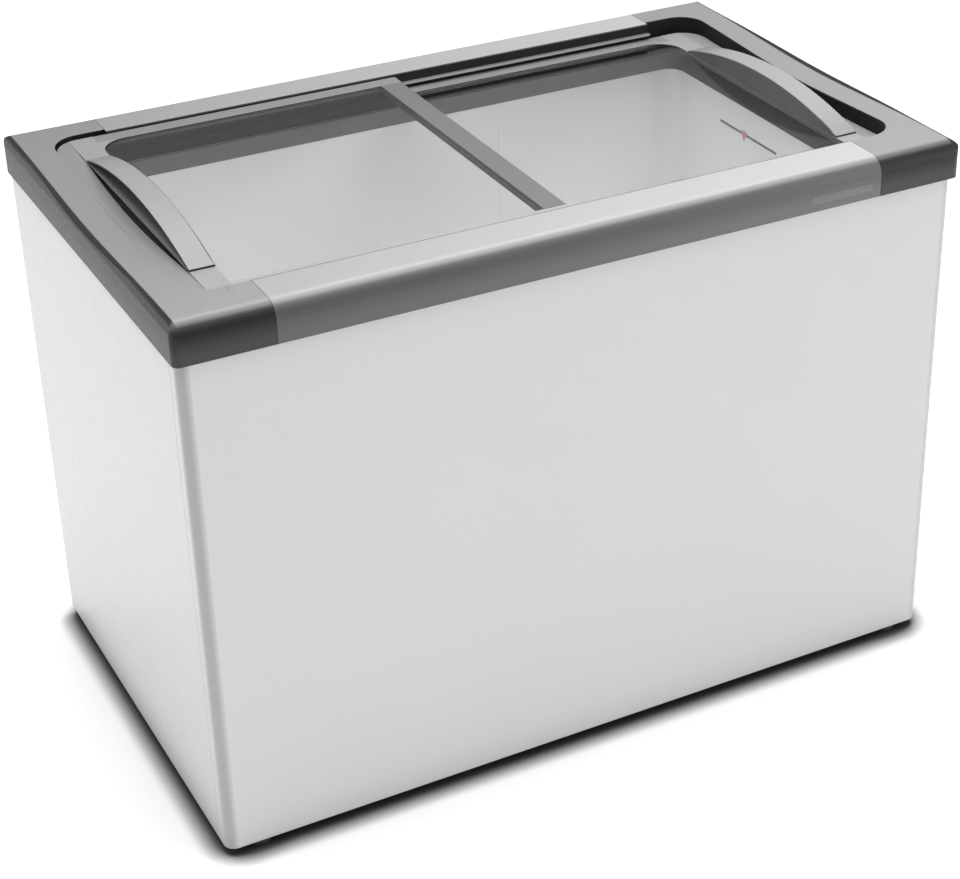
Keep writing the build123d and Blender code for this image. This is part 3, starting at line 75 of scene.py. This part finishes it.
class Tree:
    """A material's node tree with short ways to add the nodes used here."""

    def __init__(self, name):
        self.mat = bpy.data.materials.new(name)
        self.mat.use_nodes = True
        self.tree = self.mat.node_tree
        self.tree.nodes.clear()
        self.out = self.add("ShaderNodeOutputMaterial")
        self.shader = self.add("ShaderNodeBsdfPrincipled")
        self.link(self.shader.outputs[0], self.out.inputs[0])
        self.coords = self.add("ShaderNodeTexCoord").outputs["Object"]

    def add(self, kind):
        return self.tree.nodes.new(kind)

    def link(self, a, b):
        self.tree.links.new(a, b)

    def stretch(self, scale):
        """Object coordinates multiplied by a scale for each axis."""
        node = self.add("ShaderNodeMapping")
        node.inputs["Scale"].default_value = scale
        self.link(self.coords, node.inputs["Vector"])
        return node.outputs[0]

    def noise(self, scale, detail=3.0):
        """Noise in cells per metre: one number, or one for each axis."""
        node = self.add("ShaderNodeTexNoise")
        node.inputs["Detail"].default_value = detail
        node.inputs["Roughness"].default_value = 0.55
        if isinstance(scale, tuple):
            node.inputs["Scale"].default_value = 1.0
            self.link(self.stretch(scale), node.inputs["Vector"])
        else:
            node.inputs["Scale"].default_value = scale
            self.link(self.coords, node.inputs["Vector"])
        return node.outputs["Fac"]

    def cells(self, scale):
        """Cells of random grey, as on hot-dip zinc."""
        node = self.add("ShaderNodeTexVoronoi")
        node.inputs["Scale"].default_value = scale
        self.link(self.coords, node.inputs["Vector"])
        split = self.add("ShaderNodeSeparateColor")
        self.link(node.outputs["Color"], split.inputs[0])
        return split.outputs[0]

    def ramp(self, value, stops, smooth=False):
        """A value turned into a colour by a ramp."""
        node = self.add("ShaderNodeValToRGB")
        node.color_ramp.interpolation = "EASE" if smooth else "LINEAR"
        set_stops(node, stops)
        self.link(value, node.inputs[0])
        return node.outputs[0]

    def span(self, value, low, high, to_low=0.0, to_high=1.0):
        """A value's range low..high mapped to to_low..to_high and clamped."""
        node = self.add("ShaderNodeMapRange")
        for name, number in (("From Min", low), ("From Max", high),
                             ("To Min", to_low), ("To Max", to_high)):
            node.inputs[name].default_value = number
        self.link(value, node.inputs["Value"])
        return node.outputs[0]

    def math(self, operation, a, b=0.0):
        """One sum on sockets or numbers."""
        node = self.add("ShaderNodeMath")
        node.operation = operation
        for socket, value in zip(node.inputs, (a, b)):
            if isinstance(value, (int, float)):
                socket.default_value = value
            else:
                self.link(value, socket)
        return node.outputs[0]

    def mix(self, a, b, factor=1.0, blend="MULTIPLY"):
        """Two colours mixed; b is a socket or a colour."""
        node = self.add("ShaderNodeMix")
        node.data_type = "RGBA"
        node.blend_type = blend
        if isinstance(factor, (int, float)):
            node.inputs[0].default_value = factor
        else:
            self.link(factor, node.inputs[0])
        self.link(a, node.inputs[6])
        if isinstance(b, tuple):
            node.inputs[7].default_value = b + (1.0,)
        else:
            self.link(b, node.inputs[7])
        return node.outputs[2]

    def facing(self, axis):
        """One part of the surface normal, from -1 to 1: 0 for X, 1 for Y, 2 for Z."""
        split = self.add("ShaderNodeSeparateXYZ")
        self.link(self.add("ShaderNodeNewGeometry").outputs["Normal"], split.inputs[0])
        return split.outputs[axis]

    def along(self, axis):
        """One object coordinate in metres."""
        split = self.add("ShaderNodeSeparateXYZ")
        self.link(self.coords, split.inputs[0])
        return split.outputs["XYZ".index(axis)]

    def endwise(self):
        """Distance from mid length, the same towards both ends."""
        return self.math("ABSOLUTE", self.along("X"))

    def blend(self, value, place, edge):
        """0 to 1 across an edge, given as its start and end past a place."""
        return self.span(value, place + edge[0], place + edge[1])

    def outside_pocket(self):
        """0 in the crescent between a grip and its finger pocket's round edge, else 1: the mask
        for the pocket's painted shade.
        """
        out = self.math("SUBTRACT", self.endwise(), POCKET_MIDDLE)
        back = self.math("SUBTRACT", self.along("Y"), GRIP_MIDDLE)
        reach = self.math("SQRT", self.math("ADD", self.math("MULTIPLY", out, out),
                                            self.math("MULTIPLY", back, back)))
        beyond = self.blend(reach, POCKET_RADIUS, POCKET_EDGE)
        under = self.blend(self.endwise(), GRIP_SIDE, GRIP_LIP)
        return self.math("MAXIMUM", beyond, under)

    def bump(self, height, strength, distance):
        node = self.add("ShaderNodeBump")
        node.inputs["Strength"].default_value = strength
        node.inputs["Distance"].default_value = distance
        self.link(height, node.inputs["Height"])
        self.link(node.outputs[0], self.shader.inputs["Normal"])

    def finish(self, colour, rough, metal=0.0, coat=0.0, specular=0.5):
        """Colour and roughness sockets in; uniform numbers set on the shader itself."""
        self.link(colour, self.shader.inputs["Base Color"])
        self.link(rough, self.shader.inputs["Roughness"])
        self.shader.inputs["Metallic"].default_value = metal
        self.shader.inputs["Coat Weight"].default_value = coat
        self.shader.inputs["Specular IOR Level"].default_value = specular
        return self.mat


# ---------------------------------------------------------------- materials
def plain(name, tone, spread, rough, bump=0.05, coat=0.0, specular=0.5):
    """A moulded or painted surface: mottled tone, uneven gloss and a fine grain."""
    t = Tree(name)
    low = tuple(c * (1 - spread) for c in tone)
    high = tuple(min(c * (1 + spread), 1.0) for c in tone)
    colour = t.ramp(t.noise(22.0), [(0.3, low), (0.7, high)])
    gloss = t.span(t.noise(60.0), 0.3, 0.7, rough * 0.9, rough * 1.1)
    t.bump(t.noise(600.0, 2.0), bump, 0.0003)
    return t.finish(colour, gloss, coat=coat, specular=specular)


def white_enamel(name, tone, corner=1.0):
    """Baked white enamel: faint orange peel and a trace of dust near the floor.

    corner is how much of the tone is left where painted shade darkens the sheet as it bends round
    an upright corner.
    """
    t = Tree(name)
    base = t.ramp(t.noise(5.0), [(0.35, tone * 0.99), (0.65, (tone, tone, tone * 1.005))])
    low = t.span(t.along("Z"), DUST_LOW, DUST_HIGH, 0.97, 1.0)
    colour = t.mix(base, t.ramp(low, [(0.0, 0.0), (1.0, 1.0)]))
    # painted shade: the sheet is darkened where its normal lies between two sides, round an
    # upright corner
    corner_shade_mask = t.math("ABSOLUTE", t.math("MULTIPLY", t.facing(0), t.facing(1)))
    corner_shade_middle = 1.0 - 0.45 * (1.0 - corner)
    colour = t.mix(colour, t.ramp(corner_shade_mask, [(0.0, 1.0), (0.12, corner_shade_middle), (0.42, corner)], smooth=True))
    gloss = t.span(t.noise(40.0), 0.3, 0.7, 0.30, 0.38)
    t.bump(t.noise(330.0, 2.0), 0.04, 0.0004)
    return t.finish(colour, gloss, coat=0.25)


def painted_light_gradient(t, sideways):
    """Painted uneven light over the frame, as a grey: darkest at the back left corner."""
    across = t.math("MULTIPLY", t.along("X"), sideways)
    deep = t.math("MULTIPLY", t.along("Y"), -0.34)
    level = t.math("ADD", t.math("ADD", across, deep), 0.94)
    shade = t.add("ShaderNodeCombineColor")
    for socket in shade.inputs:
        t.link(level, socket)
    return shade.outputs[0]


def silver(name, top, low, high, grain, light_end=0.0, sideways=0.17, pocket=False):
    """Silver-grey satin finish with painted light and shade: a pale lit tone where it faces
    upward, painted shade past the rounding.

    top is the painted lit tone of the flat top; low and high are the painted shade on an upright
    face's foot and head.
    light_end is a painted lighter tone, as if lit, on a lid's outer end face, where the moulding
    has one.
    pocket paints shade into the finger pocket beside a lid's grip.
    """
    t = Tree(name)
    # painted light: the lit top tone comes in as the normal turns upward
    lit_top_mask = t.ramp(t.span(t.facing(2), -1.0, 1.0),
                [(0.0, 0.0), (0.875, 0.0), (0.965, 0.42), (0.998, 1.0)])
    # painted shade: the rounding along the frame's ends takes the shaded face tone all over
    endwise = t.endwise()
    lit_top_mask = t.math("MULTIPLY", lit_top_mask, t.span(endwise, END_EDGE, END_EDGE + EDGE_BLEND, 1.0, 0.0))
    # painted shade on upright faces, from the foot's tone to the head's
    face = t.ramp(t.span(t.along("Z"), FACE_LOW, FACE_HIGH),
                  [(0.0, low), (0.35, low), (1.0, high)])
    if light_end:
        # painted light: a lid's outer end face takes the lighter end tone
        side = t.span(endwise, LID_END, LID_END + LID_END_BLEND)
        face = t.mix(face, grey(light_end), side, "MIX")
    if pocket:
        # painted shade: the pocket's crescent loses the lit top tone and is painted near black
        outside = t.outside_pocket()
        lit_top_mask = t.math("MULTIPLY", lit_top_mask, outside)
        face = t.mix(face, grey(0.006), t.math("SUBTRACT", 1.0, outside), "MIX")
    tone = t.mix(face, grey(top), lit_top_mask, "MIX")
    streaks = t.ramp(t.noise(grain, 4.0), [(0.25, 0.95), (0.75, 1.04)])
    flecks = t.ramp(t.noise(1400.0, 2.0), [(0.3, 0.95), (0.7, 1.05)])
    # painted uneven light goes over the tone, then the grain's streaks and flecks
    colour = t.mix(t.mix(t.mix(tone, painted_light_gradient(t, sideways)), streaks), flecks)
    if pocket:
        # painted shade: the strip outside the grip is darkened a little beside it
        strip = t.blend(endwise, GRIP_SIDE, GRIP_UNDER)
        colour = t.mix(colour, t.ramp(strip, [(0.0, 1.0), (1.0, 0.82)]))
    gloss = t.span(t.noise(grain, 4.0), 0.3, 0.7, 0.38, 0.48)
    t.bump(t.noise(1100.0, 2.0), 0.05, 0.0002)
    return t.finish(colour, gloss, metal=0.25)


def pile(name):
    """Short black pile: fibres standing across the strip."""
    t = Tree(name)
    fibres = t.noise((2600.0, 2600.0, 500.0), 2.0)
    colour = t.ramp(fibres, [(0.3, 0.004), (0.75, 0.03)])
    gloss = t.span(fibres, 0.2, 0.8, 0.95, 0.8)
    t.bump(fibres, 0.6, 0.0006)
    return t.finish(colour, gloss, specular=0.2)


def zinc(name, tone, size):
    """Galvanised sheet with its spangle; size is in cells per metre."""
    t = Tree(name)
    spangle = t.cells(size)
    colour = t.ramp(spangle, [(0.0, tone * 0.82), (1.0, tone * 1.08)])
    gloss = t.span(spangle, 0.0, 1.0, 0.34, 0.5)
    t.bump(t.noise(700.0, 2.0), 0.05, 0.0002)
    return t.finish(colour, gloss, metal=0.75)


def brushed(name, tone, grain):
    """Bare metal with fine working marks; grain is the noise's scale for each axis."""
    t = Tree(name)
    lines = t.noise(grain, 3.0)
    colour = t.ramp(lines, [(0.3, tuple(c * 0.88 for c in tone)), (0.7, tone)])
    gloss = t.span(lines, 0.3, 0.7, 0.2975, 0.42)
    t.bump(lines, 0.08, 0.0002)
    return t.finish(colour, gloss, metal=0.8)


def foam(name):
    """Cut polyurethane foam: open cells over a mottled cream colour."""
    t = Tree(name)
    colour = t.ramp(t.noise(35.0), [(0.3, (0.74, 0.66, 0.42)), (0.7, (0.86, 0.80, 0.58))])
    gloss = t.span(t.noise(90.0), 0.3, 0.7, 0.85, 0.95)
    t.bump(t.noise(900.0, 3.0), 0.5, 0.0008)
    return t.finish(colour, gloss, specular=0.2)


def glass(name, clear_tone=(0.97, 0.975, 0.973, 1.0)):
    """Clear tempered glass with a faint haze, letting light into the well."""
    t = Tree(name)
    t.shader.inputs["Base Color"].default_value = clear_tone
    t.shader.inputs["Transmission Weight"].default_value = 1.0
    t.shader.inputs["IOR"].default_value = 1.45
    haze = t.span(t.noise(9.0), 0.35, 0.7, 0.0, 0.02)
    t.link(haze, t.shader.inputs["Roughness"])
    clear = t.add("ShaderNodeBsdfTransparent")
    clear.inputs[0].default_value = clear_tone
    path = t.add("ShaderNodeLightPath")
    indirect = t.math("MAXIMUM", path.outputs["Is Shadow Ray"], path.outputs["Is Diffuse Ray"])
    choose = t.add("ShaderNodeMixShader")
    t.link(indirect, choose.inputs[0])
    t.link(t.shader.outputs[0], choose.inputs[1])
    t.link(clear.outputs[0], choose.inputs[2])
    t.link(choose.outputs[0], t.out.inputs[0])
    return t.mat


def lamp(name):
    """A green pilot lens with fine flutes."""
    t = Tree(name)
    colour = t.ramp(t.noise(300.0), [(0.3, (0.02, 0.30, 0.08)), (0.7, (0.05, 0.48, 0.14))])
    gloss = t.span(t.noise(200.0), 0.3, 0.7, 0.1, 0.2)
    t.bump(t.noise((10.0, 1800.0, 10.0), 1.0), 0.15, 0.0003)
    return t.finish(colour, gloss, coat=0.5)


# noise scales, in cells per metre; a low one is the way that the streaks run
LONG = (14.0, 900.0, 900.0)
CROSS = (900.0, 14.0, 900.0)
DRAWN = (12.0, 1500.0, 1500.0)
TURNED = (300.0, 300.0, 300.0)
STAMPED = (400.0, 400.0, 400.0)
MOULDED = 260.0


MATERIALS = {
    # corner=0.70 paints shade round the panels' upright corners
    "white_enamel": white_enamel("white_enamel", tone=0.565, corner=0.70),
    "galvanised": zinc("galvanised", tone=0.55, size=60.0),
    "liner_white": white_enamel("liner_white", tone=0.93),
    "foam": foam("foam"),
    "copper": brushed("copper", (0.72, 0.38, 0.22), TURNED),
    "breaker_grey": plain("breaker_grey", grey(0.17), spread=0.05, rough=0.55, specular=0.25),
    "label_grey": plain("label_grey", (0.16, 0.16, 0.165), spread=0.08, rough=0.6),
    "label_red": plain("label_red", (0.72, 0.30, 0.34), spread=0.08, rough=0.6),
    # rail, badge and cap finishes carry painted light and shade: pale tops, dark upright faces
    "rail_silver": silver("rail_silver", 0.40, 0.115, 0.085, LONG, sideways=0.40),
    "badge": silver("badge", 0.36, 0.15, 0.12, LONG),
    "cap_grey": silver("cap_grey", 0.275, 0.036, 0.009, MOULDED),
    # dark trim strips stand where there is only shade: painted shade, near black
    "dark_trim": plain("dark_trim", grey(0.012), spread=0.1, rough=0.6, specular=0.15),
    "guide_alu": brushed("guide_alu", grey(0.62), DRAWN),
    # black pile seals are real; they are also set in the slot and the lower groove to make them
    # dark as painted shade
    "pile_black": pile("pile_black"),
    "zinc": zinc("zinc", tone=0.62, size=400.0),
    "white_plastic": plain("white_plastic", (0.75, 0.75, 0.73), spread=0.03, rough=0.4),
    "rubber_grey": plain("rubber_grey", grey(0.30), spread=0.08, rough=0.75),
    "grille_grey": plain("grille_grey", (0.20, 0.20, 0.205), spread=0.06, rough=0.5, bump=0.1),
    "knob_black": plain("knob_black", grey(0.03), spread=0.1, rough=0.4),
    "lamp_green": lamp("lamp_green"),
    "black_plastic": plain("black_plastic", grey(0.025), spread=0.15, rough=0.5, bump=0.12),
    "black_rubber": plain("black_rubber", grey(0.02), spread=0.15, rough=0.8),
    "black_paint": plain("black_paint", (0.02, 0.02, 0.021), spread=0.15, rough=0.3, coat=0.3),
    "condenser_alu": brushed("condenser_alu", grey(0.60), CROSS),
    "fan_alu": brushed("fan_alu", grey(0.62), STAMPED),
    "lid_glass": glass("lid_glass"),
    # lid bars in three tones of one grey, painted light: front bars lightest, then back bars, then
    # the rest
    "lid_grey": silver("lid_grey", 0.17, 0.07, 0.055, LONG),
    "lid_front": silver("lid_front", 0.37, 0.09, 0.07, LONG),
    "lid_back": silver("lid_back", 0.25, 0.08, 0.06, LONG),
    # grip finishes with painted light and shade; the second is a more shaded copy, for the left
    # lid's grip
    "handle_grey": silver("handle_grey", 0.33, 0.07, 0.07, MOULDED, light_end=0.25, pocket=True),
    "grip_painted_shade": silver("grip_painted_shade", 0.33, 0.015, 0.015, MOULDED, light_end=0.25, pocket=True),
}
SLOT_OF = {row["node"]: row["material_slot"] for row in frame["record"]["subparts"]}


def paint(obj, material):
    """Give an object one material on every face."""
    obj.data.materials.clear()
    obj.data.materials.append(material)
    for face in obj.data.polygons:
        face.material_index = 0


# pieces whose finish isn't their slot's: lighter or darker copies of it, as painted light and
# shade
SPECIAL = {
    "left_lid_front_bar": "lid_front",
    "right_lid_front_bar": "lid_front",
    "left_lid_back_bar": "lid_back",
    "right_lid_back_bar": "lid_back",
    "left_lid_handle": "grip_painted_shade",
}
for node_name, node in nodes.items():
    paint(node, MATERIALS[SPECIAL.get(node_name, SLOT_OF[node_name])])


# ---------------------------------------------------------------- floor, light, camera
FLOOR_SIZE = 60.0
CONTACT_REACH = 0.045               # how far the painted contact shadow spreads


def floor_material():
    """Pale matt floor with a close, soft contact shadow painted into its colour."""
    t = Tree("floor_pale")
    colour = t.ramp(t.noise(1.5), [(0.3, 0.955), (0.7, 0.97)])
    near = t.add("ShaderNodeAmbientOcclusion")
    near.inputs["Distance"].default_value = CONTACT_REACH
    near.samples = 24
    # painted contact shadow: the floor's colour darkens as occlusion grows
    contact = t.ramp(near.outputs["AO"], [(0.0, 0.03), (0.58, 0.06), (0.82, 0.55), (0.95, 1.0)])
    colour = t.mix(colour, contact)
    gloss = t.span(t.noise(4.0), 0.3, 0.7, 0.85, 0.95)
    return t.finish(colour, gloss, specular=0.1)


bpy.ops.mesh.primitive_plane_add(size=FLOOR_SIZE)
floor = bpy.context.object
floor.name = "floor"
paint(floor, floor_material())


def studio_world():
    """A pale studio: dim walls between a lit horizon and a bright ceiling."""
    world = bpy.data.worlds.new("studio")
    bpy.context.scene.world = world
    world.use_nodes = True
    tree = world.node_tree
    split = tree.nodes.new("ShaderNodeSeparateXYZ")
    tree.links.new(tree.nodes.new("ShaderNodeTexCoord").outputs["Generated"], split.inputs[0])
    ramp = tree.nodes.new("ShaderNodeValToRGB")
    set_stops(ramp, [(0.0, 0.45), (0.12, 0.50), (0.30, 0.20), (0.60, 0.30), (0.80, 1.0),
                     (1.0, 1.0)])
    tree.links.new(split.outputs[2], ramp.inputs[0])
    back = tree.nodes["Background"]
    tree.links.new(ramp.outputs[0], back.inputs["Color"])
    back.inputs["Strength"].default_value = 1.15


studio_world()


def softbox(name, place, target, size, power):
    """A large square lamp that looks at a point."""
    data = bpy.data.lights.new(name, "AREA")
    data.shape = "SQUARE"
    data.size = size
    data.energy = power
    lamp_object = bpy.data.objects.new(name, data)
    bpy.context.scene.collection.objects.link(lamp_object)
    lamp_object.location = place
    lamp_object.rotation_mode = "QUATERNION"
    lamp_object.rotation_quaternion = (Vector(target) - Vector(place)).to_track_quat("-Z", "Y")


softbox("overhead", (0.0, 0.3, 4.5), target=(0.0, 0.0, 0.5), size=4.0, power=190.0)
softbox("right_front", (9.5, -5.6, 2.6), target=(0.3, -0.2, 0.5), size=5.0, power=500.0)
softbox("left_back", (-7.2, 9.2, 3.0), target=(-0.3, 0.1, 0.5), size=5.0, power=192.0)

CAMERA_PLACE = (-1.4039, -2.8806, 2.201)
AZIMUTH = math.radians(27.75)
DOWN = math.radians(29.67)
ROLL = math.radians(-0.865)
SENSOR, LENS = 36.0, 83.98
SHIFT_X, SHIFT_Y = -0.068, -0.012


def camera_turn():
    """The camera's turn: along its azimuth, tilted down and rolled a little."""
    ahead = Vector((math.sin(AZIMUTH) * math.cos(DOWN), math.cos(AZIMUTH) * math.cos(DOWN),
                    -math.sin(DOWN)))
    level = ahead.to_track_quat("-Z", "Y").to_matrix()
    return (level @ Matrix.Rotation(ROLL, 3, "Z")).to_quaternion()


camera_data = bpy.data.cameras.new("camera")
camera = bpy.data.objects.new("camera", camera_data)
bpy.context.scene.collection.objects.link(camera)
bpy.context.scene.camera = camera
camera_data.sensor_width = SENSOR
camera_data.lens = LENS
camera_data.shift_x = SHIFT_X
camera_data.shift_y = SHIFT_Y
camera.location = CAMERA_PLACE
camera.rotation_mode = "QUATERNION"
camera.rotation_quaternion = camera_turn()
bpy.context.scene.view_settings.view_transform = "Standard"
